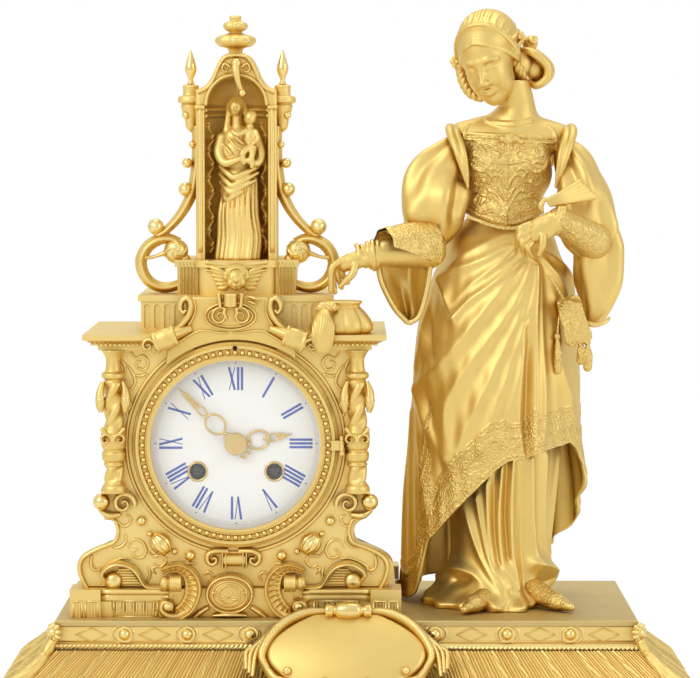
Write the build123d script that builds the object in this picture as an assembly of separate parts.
"""Figural mantel clock in gilt bronze, after the taste for the Renaissance.

A table-like base carries a clock case on the left and a standing lady on the right.
The frame is in millimetres: x to the right, y to the back, z up. The origin is under the middle of the base.
Every piece is written to parts/ as a STEP file named for its node.
"""

import os
from math import atan2, cos, degrees, hypot, pi, radians, sin, sqrt

from build123d import *

# Fits shared by all pieces
running_clearance = 0.05
moving_gap = 0.3
cut_overrun = 3.0
casting_wall = 4.0

# Base
base_height = 62.0
base_top_width = 320.0
base_top_depth = 131.0
base_wall = 4.0
top_plate_thickness = 3.0
top_plate_overhang = 1.2
foot_height = 9.0
foot_radius = 9.0
foot_inset = 10.0
plinth_height = 12.0
plinth_spread = 37.0
plinth_slab_height = 6.0
fringe_height = 24.0
fringe_spread = 31.0
fringe_rib_pitch = 4.6
fringe_rib_height = 1.4
rope_radius = 2.3
stud_radius = 3.3
stud_ring_radius = 4.5
stud_ring_depth = 1.2
side_stud_count = 3
rosette_radius = 7.0
corner_tassel_radius = 5.0

# Cartouche on the front of the base
cartouche_width = 94.0
cartouche_height = 50.0
cartouche_rise = 8.0
cartouche_tilt = 27.0
cartouche_plate = 5.0
cartouche_frame_width = 5.0
cartouche_frame_height = 2.5
cartouche_roll_radius = 3.4
cartouche_depth = 34.0

# Case
case_x = -61.2
case_setback = 19.0
case_front_thickness = 14.0
case_half_width = 86.0
case_shell_half_width = 62.0
case_shell_depth = 72.0
case_wall = 2.5
case_back_thickness = 3.0
foot_plinth_height = 15.3
foot_plinth_half_width = 91.4
foot_plinth_reach = 6.0
foot_plinth_wall = 8.0
corner_block_size = 17.0
corner_block_reach = 3.0
plinth_slab = 3.0
flute_width = 3.4
flute_pitch = 5.6
flute_depth = 1.2
cornice_height = 8.8
cornice_half_width = 83.0
cornice_reach = 14.0
cornice_step = 8.0
attic_height = 20.2
attic_half_width = 52.4
attic_setback = 8.0
attic_depth = 68.0
attic_slab = 3.0
attic_slab_reach = 1.6
pediment_half_width = 38.0
pediment_thickness = 13.0
pediment_rise = 24.0
pediment_strap_width = 5.0

# Columns of the case
column_offset = 67.0
column_height = 79.0
column_axis_depth = 3.0
column_radius = 6.4
console_radius = 6.5
console_depth = 9.0
console_ball_radius = 4.6

# Ornaments on the foot of the case
scroll_band = 5.0
scroll_depth = 8.0
scroll_volute_radius = 5.0
small_scroll_radius = 9.0
panel_half_width = 15.5
panel_thickness = 7.0
medallion_half_width = 11.6
medallion_half_height = 8.6
medallion_dome = 4.0
console_roll_radius = 5.2
console_roll_half_length = 16.0
pearl_radius = 5.4

# Dial, bezel and hands
dial_height = 95.0
dial_radius = 49.4
dial_thickness = 2.0
dial_depth = 4.0
dial_foot_radius = 1.2
dial_foot_circle = 35.0
sight_radius = 46.9
bezel_radius = 57.0
bezel_thickness = 5.2
bezel_lip = 1.8
glass_thickness = 1.6
glass_dome = 4.5
case_opening_radius = 51.0
bezel_knuckle_radius = 1.3
bezel_pin_radius = 0.7
bezel_knuckle_height = 6.0
winding_spread = 42.5
winding_drop = 15.6
winding_hole_radius = 4.7
hour_hand_length = 31.9
minute_hand_length = 44.7
hand_thickness = 0.8
hand_spacing = 1.2
hour_hand_angle = 80.2
minute_hand_angle = 314.4
collet_radius = 5.3
collet_height = 1.6

# Movement plates
plate_radius = 42.0
plate_thickness = 2.0
plate_gap = 36.0
plate_ear_reach = 13.5
plate_ear_half_height = 6.0
pillar_radius = 2.2
pillar_circle = 37.0
ear_screw_radius = 1.5
ear_screw_head_radius = 3.0
ear_screw_head_height = 2.0
ear_screw_depth = 7.0

# Wheel train
arbor_radius = 0.75
centre_arbor_radius = 1.3
cannon_pipe_wall = 0.7
hour_pipe_wall = 0.85
barrel_module = 0.36
barrel_teeth = 84
barrel_pinion_teeth = 12
barrel_drum_height = 24.0
barrel_drum_margin = 1.3
barrel_wheel_thickness = 2.0
barrel_start = 3.0
intermediate_module = 0.38
intermediate_teeth = 80
centre_pinion_teeth = 10
centre_module = 0.36
centre_teeth = 84
third_pinion_teeth = 7
third_module = 0.30
third_teeth = 77
third_direction = 55.0
escape_pinion_teeth = 7
escape_pinion_gap = 0.4
escape_teeth = 42
escape_radius = 8.5
escape_tooth_height = 1.5
strike_second_module = 0.30
strike_second_teeth = 80
strike_second_direction = 75.0
cannon_module = 0.42
cannon_teeth = 24
minute_wheel_teeth = 48
hour_module = 0.36
minute_pinion_teeth = 12
hour_wheel_teeth = 72
wheel_thickness = 1.2
pinion_overlap = 0.7
wheel_clearance = 0.8
motion_wheel_gap = 0.6
winding_arbor_radius = 2.5
winding_pivot_radius = 1.2
winding_square = 3.6
ratchet_radius = 6.0
ratchet_teeth = 20
count_wheel_radius = 12.0
count_wheel_notches = 12

# Escapement, pendulum and strike
anchor_rise = 12.5
anchor_width = 1.3
anchor_span = 8.0
anchor_drop = 6.1
crutch_length = 30.0
crutch_width = 2.4
crutch_thickness = 1.4
crutch_start = 0.6
pendulum_length = 116.0
pendulum_depth = 7.0
pendulum_rod_radius = 1.0
bob_radius = 12.0
bob_half_thickness = 4.0
suspension_length = 2.4
suspension_width = 3.0
suspension_thickness = 0.4
cock_half_width = 4.5
cock_height = 3.0
bell_radius = 24.0
bell_depth = 14.0
bell_thickness = 1.6
bell_offset_x = 12.0
bell_offset_z = -10.0
bell_start = 12.0
bell_post_radius = 2.0
bell_nut_height = 2.4
bell_nut_radius = 3.4
hammer_x = 14.0
hammer_z = -36.0
hammer_head_radius = 3.0
hammer_head_direction = -60.0
hammer_gap = 0.6
hammer_stem_width = 2.0
hammer_start = 15.0
hammer_height = 2.4

# Rear door
rear_opening_radius = 43.0
rear_door_radius = 47.0
rear_door_thickness = 2.0
rear_knuckle_radius = 2.0
rear_pin_radius = 1.0
rear_knuckle_height = 9.0
rear_knob_radius = 2.6
rear_knob_length = 4.0

# Crown of the case
niche_plinth_half_width = 33.0
niche_plinth_height = 19.2
niche_plinth_front = 13.0
niche_plinth_depth = 50.0
niche_plinth_bow = 7.0
niche_slab = 4.0
niche_slab_reach = 1.5
niche_half_width = 25.0
niche_inner_half_width = 21.6
niche_wall_height = 76.0
niche_peak_height = 114.0
niche_peak_half_width = 3.4
niche_front_depth = 10.0
niche_back_depth = 26.0
turret_radius = 7.0
turret_height = 24.0
turret_offset = 28.5
turret_start = 76.0
spire_radius = 3.3
spire_height = 18.0
finial_height = 22.0
finial_radius = 10.9
buttress_band = 6.0
buttress_thickness = 12.0
buttress_height = 84.0
buttress_reach = 56.0
buttress_rosette_radius = 6.5
buttress_ball_radius = 4.7
statue_height = 89.0
statue_x_offset = 2.4
cherub_radius = 7.0
cherub_rise = 10.0
cherub_wing_reach = 17.0
cherub_wing_thickness = 4.0

# Vessel on the cornice
vessel_radius = 11.0
vessel_height = 18.4
vessel_x_offset = 63.0
vessel_front_setback = 21.0
vessel_lobes = 8
vessel_tassel_radius = 2.0
vessel_tassel_drop = 8.0
vessel_tassel_out = 15.0

# Lady
figure_x = 88.0
figure_y = 23.0
figure_height = 336.0
dress_fold_count = 13
dress_fold_share = 0.055
dress_wall = 7.0
dress_bar_width = 18.0
dress_bar_height = 14.0
sleeve_wall = 2.0
head_height = 49.5
head_pitch = 19.0
head_yaw = -25.0
head_roll = -12.0
braid_radius = 2.8
purse_width = 20.0
purse_height = 32.0
purse_thickness = 9.0
purse_seat_depth = 10.0
stud_bolt_radius = 3.0
stud_bolt_length = 24.0
stud_nut_radius = 6.0
stud_nut_height = 5.0

# Shares of an outline or a profile, chosen by hand
gear_tooth_shares = ((-1.0, -1.0), (0.0, -1.0), (0.55, -0.72), (1.0, -0.25),
                     (1.0, 0.25), (0.55, 0.72), (0.0, 1.0), (-1.0, 1.0))
wheel_tooth_shares = (0.40, 1.0, 1.4)
pinion_leaf_shares = (0.34, 0.6, 1.6)
foot_profile_shares = ((0.0, 0.0), (0.7, 0.0), (0.95, 0.2), (0.95, 0.45), (0.6, 0.65), (0.85, 0.8),
                       (0.85, 1.0), (0.0, 1.0))
fringe_shares = ((1.0, 0.0), (0.5, 0.46), (0.0, 1.0))
fringe_side_shares = (0.06, 0.86)
fringe_front_shares = ((0.06, 0.32), (0.68, 0.94))
rope_round_share = 0.95
front_stud_shares = (-0.766, -0.55, -0.333, 0.305, 0.553, 0.772)
cartouche_shares = ((-0.42, 0.72), (-0.5, 0.5), (-0.44, 0.28), (-0.26, 0.1), (0.0, 0.0),
                    (0.26, 0.1), (0.44, 0.28), (0.5, 0.5), (0.42, 0.72))
case_side_shares = ((0.944, 0.0), (1.0, 0.11), (0.93, 0.19), (0.75, 0.27), (0.79, 0.36))
column_shares = ((1.1, 0.0), (1.25, 0.03), (1.1, 0.07), (0.75, 0.1), (0.72, 0.14), (0.95, 0.2),
                 (1.04, 0.25),
                 (0.98, 0.31), (0.75, 0.35), (1.02, 0.4), (1.02, 0.46), (0.78, 0.49), (0.92, 0.55),
                 (0.95, 0.66), (0.8, 0.78), (0.72, 0.83), (0.95, 0.86), (0.72, 0.89), (0.85,
                                                                                       0.94), (1.15, 1.0))
console_place_shares = ((-0.85, -0.02), (1.15, 0.02))
pediment_scroll_shares = ((-0.52, 0.02), (-0.83, 0.12), (-0.93, 0.42), (-0.74, 0.66), (-0.5, 0.56),
                          (-0.52, 0.36))
pediment_cap_shares = ((-0.5, 0.5), (-0.42, 0.8), (-0.2, 0.92), (0.0, 1.0), (0.2, 0.92), (0.42, 0.8),
                       (0.5, 0.5))
big_scroll_shares = ((-0.39, 1.12), (-0.3, 1.62), (-0.2, 1.9), (-0.12, 1.35), (-0.14, 0.5),
                     (-0.25, 0.14), (-0.41, 0.32))
small_scroll_place_shares = (-0.676, 0.16)
pearl_shares = ((-0.6, 0.29, 0.5), (-0.543, 0.238, 0.3), (-0.472, 0.2, 1.0), (-0.384, 0.159, 0.3),
                (-0.295, 0.142, 0.6))
niche_ogee_shares = ((1.0, 0.0), (1.02, 0.25), (0.82, 0.52), (0.4, 0.74))
turret_shares = ((0.25, 0.0), (0.6, 0.16), (0.45, 0.3), (0.9, 0.48), (1.0, 0.6), (0.75, 0.7),
                 (0.55, 0.8), (0.5, 1.0))
spire_shares = ((0.95, 0.0), (1.0, 0.1), (0.55, 0.3), (0.8, 0.42), (0.45, 0.6), (0.3, 0.8), (0.12, 1.0))
finial_shares = ((0.3, 0.0), (0.22, 0.14), (0.75, 0.24), (1.0, 0.33), (0.6, 0.42), (0.22, 0.52), (0.3, 0.6),
                 (0.6, 0.69), (0.3, 0.77), (0.16, 0.84), (0.32, 0.91), (0.2, 0.98))
buttress_shares = ((0.44, 1.0), (0.48, 0.72), (0.5, 0.54), (0.6, 0.38), (0.78, 0.25), (0.93, 0.1),
                   (0.93, -0.08), (0.76, -0.18), (0.58, -0.1), (0.6, 0.04))
buttress_pearl_shares = ((0.44, 0.78, 0.5), (0.5, 0.65, 0.7), (0.52, 0.46, 0.85), (0.81, 0.25, 1.0))
buttress_rosette_shares = (0.62, 0.07)
statue_ring_shares = ((0.0, 0.0, 0.15, 0.13), (0.05, 0.0, 0.16, 0.14), (0.3, 0.0, 0.13, 0.12),
                      (0.55, -0.01, 0.12, 0.11),
                      (0.7, -0.01, 0.15, 0.1), (0.8, -0.01, 0.13, 0.085), (0.84, 0.0, 0.07, 0.06))
statue_ball_shares = ((0.0, -0.02, 0.9, 0.085), (0.11, -0.075, 0.66, 0.075), (0.13, -0.085, 0.765, 0.055),
                      (-0.1, -0.08, 0.64, 0.06))
cherub_wing_shares = ((0.2, 0.3), (0.55, 0.75), (1.0, 0.85), (0.95, 0.2), (0.7, -0.25), (0.2, -0.45))
vessel_ring_shares = ((0.0, 0.45), (0.1, 0.75), (0.4, 1.0), (0.68, 0.9), (0.84, 0.5), (0.92, 0.62),
                      (1.0, 0.5))
skirt_shares = ((0.0, -0.125, 0.077, 0.098), (0.05, -0.096, 0.08, 0.086), (0.1, -0.085, 0.08, 0.08),
                (0.17, -0.086, 0.086, 0.079), (0.25, -0.09, 0.092, 0.08), (0.33, -0.095, 0.095, 0.079),
                (0.42, -0.1, 0.095, 0.075))
overskirt_shares = ((0.004, -0.165, 0.149, 0.124), (0.1, -0.162, 0.149, 0.125), (0.18, -0.158, 0.149,
                                                                                 0.124),
                    (0.26, -0.152, 0.137, 0.124), (0.37, -0.147, 0.134, 0.118), (0.485, -0.135, 0.125,
                                                                                 0.109),
                    (0.55, -0.115, 0.113, 0.097), (0.59, -0.097, 0.098, 0.085), (0.634, -0.074, 0.08,
                                                                                 0.062),
                    (0.65, -0.06, 0.066, 0.05))
front_hem_shares = ((-0.22, 0.0045), (-0.149, 0.006), (-0.134, 0.05), (-0.122, 0.1), (-0.107, 0.125),
                    (-0.071, 0.179),
                    (-0.018, 0.235), (0.024, 0.253), (0.051, 0.265), (0.119, 0.274), (0.143,
                                                                                      0.228), (0.22, 0.2))
back_hem_shares = ((-0.22, 0.0045), (-0.149, 0.006), (-0.083, 0.025), (-0.009, 0.042), (0.036, 0.05),
                   (0.086, 0.077),
                   (0.122, 0.125), (0.143, 0.228), (0.22, 0.2))
bodice_shares = ((0.65, -0.056, 0.062, 0.046), (0.68, -0.055, 0.062, 0.046), (0.72, -0.066, 0.078, 0.053),
                 (0.76, -0.078, 0.095, 0.054), (0.787, -0.09, 0.122, 0.045), (0.81, -0.06, 0.095, 0.036),
                 (0.825, -0.018, 0.06, 0.031), (0.86, -0.006, 0.05, 0.027), (0.874, -0.006, 0.042, 0.024))
head_place_shares = (0.0, -0.006, 0.848)
skull_shares = ((0.0, 0.07, 0.645, 0.355), (0.0, 0.16, 0.69, 0.352))
face_shares = ((0.0, -0.2, 0.015, 0.06), (0.0, -0.17, 0.11, 0.15), (0.0, -0.12, 0.28, 0.215),
               (0.0, -0.1, 0.46, 0.24),
               (0.0, -0.07, 0.66, 0.2))
nose_shares = ((0.0, -0.3, 0.58, 0.02), (0.0, -0.35, 0.45, 0.034), (0.0, -0.385, 0.36, 0.045),
               (0.0, -0.36, 0.32, 0.02))
hair_ball_shares = ((0.026, 0.004, 0.907, 0.029), (0.059, 0.014, 0.897, 0.026),
                    (0.046, 0.016, 0.943, 0.016))
braid_shares = (((0.022, -0.018, 0.948), (0.02, -0.022, 0.92), (0.028, -0.016, 0.893), (0.043, 0.0, 0.874)),
                ((-0.0726, -0.006, 0.906), (-0.066, -0.004, 0.878), (-0.053, -0.002, 0.857),
                 (-0.034, 0.0, 0.848)))
right_sleeve_shares = ((0.786, -0.101, -0.053, 0.0, 0.021), (0.756, -0.134, -0.05, -0.007, 0.037),
                       (0.717, -0.164, -0.06, -0.021, 0.049), (0.67, -0.173, -0.062, -0.033, 0.053),
                       (0.628, -0.167, -0.071, -0.042, 0.046), (0.601, -0.147, -0.094, -0.045, 0.025))
right_forearm_shares = ((-0.128, -0.06, 0.601, 0.036), (-0.155, -0.075, 0.598, 0.0315), (-0.183, -0.091,
                                                                                         0.595, 0.026),
                        (-0.211, -0.106, 0.592, 0.02), (-0.238, -0.122, 0.586, 0.016), (-0.258, -0.13,
                                                                                        0.578, 0.013),
                        (-0.272, -0.132, 0.562, 0.01), (-0.281, -0.133, 0.54, 0.006))
right_drape_shares = ((0.6, -0.21, -0.122, -0.06, 0.024), (0.56, -0.207, -0.125, -0.054, 0.027),
                      (0.53, -0.198, -0.129, -0.054, 0.026), (0.5, -0.182, -0.138, -0.057, 0.021),
                      (0.479, -0.164, -0.155, -0.062, 0.009))
left_sleeve_shares = ((0.783, 0.08, 0.122, 0.0, 0.021), (0.744, 0.08, 0.152, -0.012, 0.034),
                      (0.702, 0.086, 0.173, -0.024, 0.042), (0.655, 0.094, 0.186, -0.036, 0.045),
                      (0.607, 0.104, 0.199, -0.045, 0.046), (0.577, 0.125, 0.19, -0.046, 0.03))
left_forearm_shares = ((0.147, -0.073, 0.613, 0.031), (0.127, -0.088, 0.625, 0.028), (0.107, -0.102,
                                                                                      0.637, 0.024),
                       (0.086, -0.117, 0.646, 0.02), (0.062, -0.13, 0.638, 0.019), (0.038, -0.136, 0.625,
                                                                                    0.015),
                       (0.022, -0.132, 0.607, 0.008))
left_drape_shares = ((0.62, 0.114, 0.193, -0.05, 0.03), (0.58, 0.119, 0.204, -0.049, 0.033),
                     (0.53, 0.129, 0.201, -0.05, 0.031), (0.491, 0.133, 0.186, -0.055, 0.024),
                     (0.471, 0.146, 0.158, -0.062, 0.009))
drape_opening_share = 0.62
left_cuff_shares = ((0.07, -0.12, 0.678, 0.008), (0.1, -0.108, 0.688, 0.012), (0.132, -0.09, 0.7, 0.014))
tassel_end_share = 0.85
tassel_girth_share = 0.6
cartouche_roll_share = 0.8
cartouche_crest_share = 0.34
purse_place_shares = (0.113, -0.08, 0.475)
purse_shares = ((-0.5, 0.0), (-0.46, -0.3), (0.0, -0.5), (0.46, -0.3), (0.5, 0.0), (0.34, 0.36),
                (0.2, 0.5), (-0.2, 0.5), (-0.34, 0.36))

# Places worked out from the driving sizes
base_back_y = (base_top_depth + plinth_spread) / 2
base_front_y = base_back_y - base_top_depth
plinth_top_z = foot_height + plinth_height
fringe_top_z = plinth_top_z + fringe_height
frieze_top_z = base_height - top_plate_thickness
frieze_front_y = base_front_y + top_plate_overhang
frieze_half_width = base_top_width / 2 - top_plate_overhang
case_front_y = base_front_y + case_setback
case_back_y = case_front_y + case_front_thickness
shell_back_y = case_back_y + case_shell_depth
case_end_y = shell_back_y + case_back_thickness
foot_plinth_top_z = base_height + foot_plinth_height
dial_z = base_height + dial_height
column_bottom_z = dial_z + bezel_radius - column_height - cornice_height / 2
cornice_bottom_z = column_bottom_z + column_height
cornice_top_z = cornice_bottom_z + cornice_height
case_front_height = cornice_bottom_z - foot_plinth_top_z
attic_front_y = case_front_y + attic_setback
attic_top_z = cornice_top_z + attic_height
niche_axis_y = attic_front_y + niche_plinth_front + niche_front_depth
niche_floor_z = attic_top_z + niche_plinth_height
front_plate_y = case_back_y
movement_y = front_plate_y + plate_thickness
back_plate_y = movement_y + plate_gap
rear_y = back_plate_y + plate_thickness
dial_front_y = case_front_y + dial_depth


# Basic shapes

def block(x_span, y_span, z_span):
    """Box between two ends along each axis."""
    size = [span[1] - span[0] for span in (x_span, y_span, z_span)]
    middle = [(span[0] + span[1]) / 2 for span in (x_span, y_span, z_span)]
    return Pos(*middle) * Box(*size)


def upright(sketch, y_front, y_back):
    """Solid from a sketch drawn in x and z, between two depths."""
    plane = Plane(origin=(0, y_back, 0), x_dir=(1, 0, 0), z_dir=(0, -1, 0))
    return extrude(plane * sketch, y_back - y_front)


def turned(points, x, y, z):
    """Upright turned piece from (radius, height) points, as a smooth curve closed on its axis."""
    bottom, top = points[0][1], points[-1][1]
    line = Spline(*points) + Polyline(points[-1], (0, top), (0, bottom), points[0])
    return Pos(x, y, z) * revolve(Plane.XZ * make_face(line), Axis.Z)


def turned_steps(points, x, y, z):
    """Upright turned piece from (radius, height) points joined by straight lines."""
    return Pos(x, y, z) * revolve(Plane.XZ * make_face(Polyline(*points, close=True)), Axis.Z)


def turned_forward(points, x, z, y_back):
    """Turned piece that faces the front, from (radius, reach) points joined by straight lines."""
    piece = revolve(Plane.XZ * make_face(Polyline(*points, close=True)), Axis.Z)
    return Pos(x, y_back, z) * Rot(90, 0, 0) * piece


def scaled(shares, width, height):
    """Points from shares of a width and a height."""
    return [(share[0] * width, share[1] * height) for share in shares]


def ring_stack(rings):
    """Solid through level ellipses, each given as centre x, y, z, half width and half depth."""
    return loft([Pos(x, y, z) * Ellipse(half_width, half_depth) for x, y, z, half_width,
                 half_depth in rings])


def folded_ring(x, y, z, half_width, half_depth, folds, depth_share):
    """Level outline whose edge waves in and out as folds of cloth."""
    points = []
    for index in range(2 * folds):
        turn = pi * index / folds
        swell = 1 + depth_share * (-1) ** index
        points.append((x + half_width * swell * cos(turn), y + half_depth * swell * sin(turn)))
    return Pos(0, 0, z) * make_face(Spline(*points, periodic=True))


def limb(path):
    """Round limb through points, each given as x, y, z and radius."""
    sections = []
    for index, (x, y, z, radius) in enumerate(path):
        before = path[max(index - 1, 0)]
        after = path[min(index + 1, len(path) - 1)]
        along = Vector(*(after[axis] - before[axis] for axis in range(3)))
        across = Vector(0, 1, 0).cross(along)
        sections.append(Plane(origin=(x, y, z), x_dir=across, z_dir=along) * Circle(radius))
    return loft(sections)


def mirrored(piece):
    """Copy of a case ornament on the other side of the dial axis."""
    return mirror(piece, Plane(origin=(case_x, 0, 0), z_dir=(1, 0, 0)))


def around_dial(x, z):
    """Place in x and z from an offset to the dial axis."""
    return Pos(case_x + x, dial_z + z)


def dial_disc(radius, x, z, y_front, y_back):
    """Disc or rod along y at an offset from the dial axis."""
    return upright(around_dial(x, z) * Circle(radius), y_front, y_back)


# Base

def base_rect(spread, z):
    """Level rectangle that grows to the front and the sides, with its back edge kept."""
    depth = base_top_depth + spread
    return Pos(0, base_back_y - depth / 2, z) * Rectangle(base_top_width + 2 * spread, depth)


def make_base_feet():
    points = scaled(foot_profile_shares, foot_radius, foot_height)
    half = base_top_width / 2 + plinth_spread - foot_inset
    places = [(x, y) for x in (-half, half) for y in (base_front_y - plinth_spread + foot_inset,
                                                      base_back_y - foot_inset)]
    return [turned_steps(points, x, y, 0) for x, y in places]


def make_base_plinth():
    slab_top = foot_height + plinth_slab_height
    slab = extrude(base_rect(plinth_spread, foot_height), plinth_slab_height)
    upper = loft([base_rect(plinth_spread, slab_top), base_rect((plinth_spread + fringe_spread) / 2,
                                                                plinth_top_z)])
    inner_spread = fringe_spread - 2 * base_wall
    inner_half = base_top_width / 2 + inner_spread
    hole = block((-inner_half, inner_half), (base_front_y - inner_spread, base_back_y - 2 * base_wall),
                 (foot_height - cut_overrun, plinth_top_z + cut_overrun))
    return slab + upper - hole


def fringe_outline(width, y_front, y_back, inset):
    """Corners of the fringe at one level, with a zigzag of strands where they are seen."""
    left, right = -width / 2 + inset, width / 2 - inset
    corners = [(left, y_back), (left, y_front + inset), (right, y_front + inset), (right, y_back)]
    if inset:
        return corners
    side_start, side_end = fringe_side_shares
    spans = [[(side_start, side_end)], fringe_front_shares, [(1 - side_end, 1 - side_start)]]
    outward = [(-1, 0), (0, -1), (1, 0)]
    points = []
    for index, (start, end) in enumerate(zip(corners[:-1], corners[1:])):
        points.append(start)
        for first, last in spans[index]:
            length = (base_top_depth, base_top_width, base_top_depth)[index]
            count = round(length * (last - first) / fringe_rib_pitch)
            for step in range(2 * count + 1):
                share = first + (last - first) * step / (2 * count)
                height = fringe_rib_height * (step % 2)
                points.append(tuple(start[axis] + (end[axis] - start[axis]) * share
                                    + outward[index][axis] * height
                                    for axis in (0, 1)))
    return points + [corners[-1]]


def fringe_form(inset):
    """Flaring body of the fringe with its strands, or its plain hollow when set in by the wall."""
    sections = []
    for height_share, spread_share in fringe_shares:
        spread = fringe_spread * spread_share
        outline = fringe_outline(base_top_width + 2 * spread, base_front_y - spread, base_back_y - inset,
                                 inset)
        sections.append(Pos(0, 0, plinth_top_z + fringe_height * height_share)
                        * make_face(Polyline(*outline, close=True)))
    return loft(sections)


def make_fringe_skirt():
    return fringe_form(0) - fringe_form(base_wall)


def make_frieze_band():
    band = extrude(base_rect(-top_plate_overhang, fringe_top_z), frieze_top_z - fringe_top_z)
    rope = extrude(base_rect(rope_radius - top_plate_overhang, fringe_top_z), 2 * rope_radius)
    levels = rope.edges().group_by(Axis.Z)
    rope = fillet(levels[0].sort_by(Axis.Y)[:-1] + levels[-1].sort_by(Axis.Y)[:-1],
                  rope_radius * rope_round_share)
    inner_half = frieze_half_width - base_wall
    return band + rope - block((-inner_half, inner_half), (frieze_front_y + base_wall,
                                                           base_back_y - base_wall),
                               (fringe_top_z - cut_overrun, frieze_top_z + cut_overrun))


def stud_bolt_places():
    """Where the figure and the case are bolted to the top plate."""
    reach = foot_plinth_half_width - foot_plinth_wall / 2
    case_y = (case_front_y + case_end_y) / 2
    return [(figure_x, figure_y), (case_x - reach, case_y), (case_x + reach, case_y)]


def stud_bolt_hole(radius):
    """Rods through the top plate at every bolt."""
    length = stud_bolt_length + 2 * running_clearance
    return [Pos(x, y, base_height) * Cylinder(radius, length) for x, y in stud_bolt_places()]


def make_top_plate():
    plate = extrude(base_rect(0, frieze_top_z), top_plate_thickness)
    plate = fillet(plate.edges().group_by(Axis.Z)[-1].sort_by(Axis.Y)[:-1], top_plate_thickness / 3)
    return plate - stud_bolt_hole(stud_bolt_radius + running_clearance)


def make_fixing_bolts():
    bolts = []
    for x, y in stud_bolt_places():
        rod = Pos(x, y, base_height) * Cylinder(stud_bolt_radius, stud_bolt_length)
        nut = extrude(Pos(x, y, frieze_top_z) * RegularPolygon(stud_nut_radius, 6), -stud_nut_height)
        bolts.append(rod + nut)
    return bolts


def make_frieze_studs(band):
    ring = ((0, 0), (stud_ring_radius, 0), (stud_ring_radius, stud_ring_depth), (0, stud_ring_depth))
    z = (fringe_top_z + 2 * rope_radius + frieze_top_z) / 2
    front = Pos(0, frieze_front_y, z)
    stud = turned_forward(ring, 0, 0, 0) + Pos(0, -stud_ring_depth, 0) * Sphere(stud_radius)
    stud = stud - block((-foot_radius, foot_radius), (0, foot_radius), (-foot_radius, foot_radius))
    studs = [front * Pos(share * frieze_half_width, 0, 0) * stud for share in front_stud_shares]
    depth = base_back_y - frieze_front_y
    for turn, side in ((90, frieze_half_width), (-90, -frieze_half_width)):
        for index in range(side_stud_count):
            y = frieze_front_y + depth * (index + 0.5) / side_stud_count
            studs.append(Pos(side, y, z) * Rot(0, 0, turn) * stud)
    return [piece - band for piece in studs]


def make_corner_rosettes(carriers):
    rosettes = []
    middle_z = (fringe_top_z + 2 * rope_radius + base_height) / 2
    for side in (-1, 1):
        corner = base_top_width / 2 * side
        knot = Pos(corner, base_front_y, middle_z) * Sphere(rosette_radius)
        path = []
        for height_share, spread_share in fringe_shares[::-1]:
            spread = fringe_spread * spread_share * tassel_end_share
            path.append((corner + spread * side, base_front_y - spread,
                         fringe_top_z - fringe_height * spread_share * tassel_end_share,
                         corner_tassel_radius * tassel_girth_share * (1 + spread_share)))
        rosettes.append(knot + limb(path[::-1]))
    return [cut_by(piece, carriers) for piece in rosettes]


def cut_by(piece, carriers):
    """Piece cut to sit on the pieces that carry it, keeping its largest solid."""
    for carrier in carriers:
        piece = piece - carrier
    return max(piece.solids(), key=lambda solid: solid.volume)


def cartouche_face(inset):
    """Outline of the cartouche, or of its field when set in by the frame."""
    points = scaled(cartouche_shares, cartouche_width - 2 * inset, cartouche_height - 2 * inset)
    edge = Spline(*[(x, z + inset) for x, z in points])
    return make_face(edge + Line(edge @ 1, edge @ 0))


def make_front_cartouche(carriers):
    face = cartouche_face(0)
    rim = face - cartouche_face(cartouche_frame_width)
    shield = upright(face, -cartouche_plate, cartouche_depth)
    shield += upright(rim, -cartouche_plate - cartouche_frame_height, 0)
    roll_z = cartouche_shares[0][1] * cartouche_height
    roll_length = cartouche_width * cartouche_roll_share
    roll = Pos(0, -cartouche_plate, roll_z) * Rot(0, 90, 0) * Cylinder(cartouche_roll_radius, roll_length)
    top_half = cartouche_width * cartouche_crest_share
    crest = upright(make_face(Spline((-top_half, roll_z), (0, cartouche_height), (top_half, roll_z))
                              + Line((top_half, roll_z), (-top_half, roll_z))), -cartouche_plate, 0)
    piece = Pos(0, base_front_y, base_height + cartouche_rise) * Rot(-cartouche_tilt, 0, 0) \
        * Pos(0, 0, -cartouche_height) * (shield + roll + crest)
    return cut_by(piece, carriers)


# Case

def flute(x, z_bottom, z_top, y_front):
    """Round-headed flute to be cut from a front face."""
    length = z_top - z_bottom
    sketch = Pos(case_x + x, z_bottom + length / 2) * Rot(0, 0, 90) * SlotOverall(length, flute_width)
    return upright(sketch, y_front - cut_overrun, y_front + flute_depth)


def make_case_foot_plinth():
    half = foot_plinth_half_width
    front = case_front_y - foot_plinth_reach
    body = block((case_x - half + corner_block_reach, case_x + half - corner_block_reach),
                 (front, case_end_y), (base_height, foot_plinth_top_z))
    for side in (-1, 1):
        outer = case_x + side * half
        inner = outer - side * corner_block_size
        span = (min(outer, inner), max(outer, inner))
        body += block(span, (front - corner_block_reach, front + corner_block_size),
                      (base_height, foot_plinth_top_z))
        body += block(span, (case_end_y - corner_block_size, case_end_y), (base_height, foot_plinth_top_z))
    first = panel_half_width + 3 * scroll_band
    count = int((half - corner_block_size - first) / flute_pitch)
    for index in range(count):
        for side in (-1, 1):
            x = side * (first + flute_pitch * (index + 0.5))
            body -= flute(x, base_height + plinth_slab, foot_plinth_top_z - plinth_slab, front)
    cavity = case_shell_half_width - case_wall - foot_plinth_wall / 2
    body -= block((case_x - cavity, case_x + cavity), (case_back_y + case_front_thickness,
                                                       shell_back_y - case_wall),
                  (base_height - cut_overrun, foot_plinth_top_z + cut_overrun))
    return body - stud_bolt_hole(stud_bolt_radius + running_clearance)


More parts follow.
